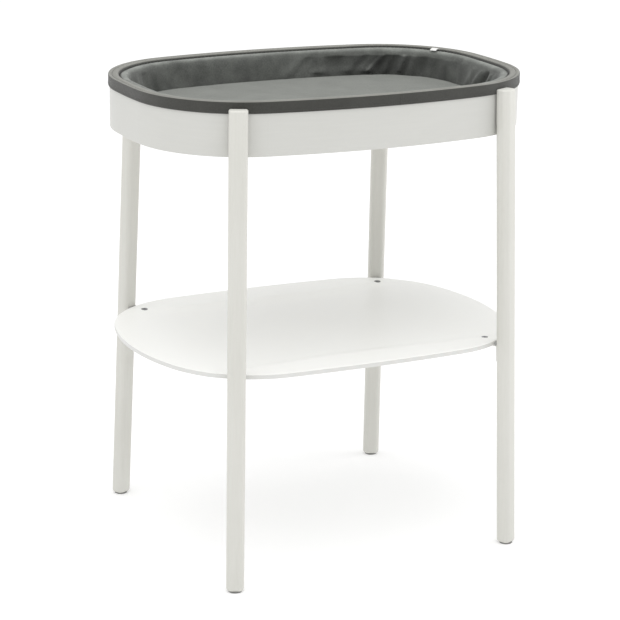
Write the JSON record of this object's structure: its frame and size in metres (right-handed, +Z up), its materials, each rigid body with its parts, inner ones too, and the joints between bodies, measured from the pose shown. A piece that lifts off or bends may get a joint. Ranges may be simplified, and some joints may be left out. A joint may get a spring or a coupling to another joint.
{
  "type": "changing table",
  "caption": "Oval changing table: padded fabric-lined tray on four splayed legs, with a dished shelf below and a changing pad that lifts out.",
  "frame": {"origin": "on the floor, under the middle of the tray", "axes": "+Z up, X along the tray's long side, -Y the front long side"},
  "size_m": [0.7872, 0.5996, 0.9115],
  "materials": {
    "white_leg_lacquer": "satin white lacquer on solid wood",
    "white_ring_lacquer": "satin white lacquer on moulded plywood",
    "white_shelf_lacquer": "satin white lacquer on moulded plywood",
    "white_board": "white foil on board",
    "raw_batten": "planed, unpainted",
    "zinc_steel": "zinc-plated",
    "brass_insert": "turned",
    "white_steel": "white powder coat",
    "grey_nylon": "moulded nylon",
    "dark_glide": "matt",
    "dark_spacer": "matt",
    "hem_fabric": "dark grey cotton weave",
    "liner_fabric": "grey cotton jersey over wadding",
    "pad_fabric": "light grey woven cotton",
    "pad_back_fabric": "light grey non-slip fabric",
    "foam": "open-cell foam",
    "elastic": "braided elastic",
    "label_tape": "blank woven tape"
  },
  "bodies": {
    "frame": {"leg_front_left": "white_leg_lacquer", "leg_front_right": "white_leg_lacquer", "leg_back_left": "white_leg_lacquer", "leg_back_right": "white_leg_lacquer", "foot_glide_front_left": "dark_glide", "foot_glide_front_right": "dark_glide", "foot_glide_back_left": "dark_glide", "foot_glide_back_right": "dark_glide", "glide_pins": "zinc_steel", "tray_ring": "white_ring_lacquer", "leg_bolts": "zinc_steel", "leg_bolt_washers": "zinc_steel", "leg_inserts": "brass_insert", "leg_spacers": "grey_nylon", "tray_floor": "white_board", "floor_cleat_front": "raw_batten", "floor_cleat_back": "raw_batten", "floor_cleat_left": "raw_batten", "floor_cleat_right": "raw_batten", "cleat_screws": "zinc_steel", "floor_screws": "zinc_steel", "shelf": "white_shelf_lacquer", "shelf_bracket_front_left": "white_steel", "shelf_bracket_front_right": "white_steel", "shelf_bracket_back_left": "white_steel", "shelf_bracket_back_right": "white_steel", "shelf_screws": "zinc_steel", "shelf_nuts": "zinc_steel", "shelf_spacers": "dark_spacer", "bracket_screws": "zinc_steel"},
    "liner": {"rim_hem": "hem_fabric", "hem_elastic": "elastic", "liner_base": "liner_fabric", "padded_liner": "liner_fabric", "loop_label": "label_tape"},
    "changing_pad": {"pad_foam": "foam", "pad_top_cover": "pad_fabric", "pad_base_cover": "pad_back_fabric"}
  },
  "joints": [
    {"name": "liner_lift", "type": "slide", "parent": "frame", "child": "liner", "axis": [0, 0, 1], "range_m": [0, 0.1]},
    {"name": "pad_lift", "type": "slide", "parent": "liner", "child": "changing_pad", "axis": [0, 0, 1], "range_m": [0, 0.1]}
  ]
}
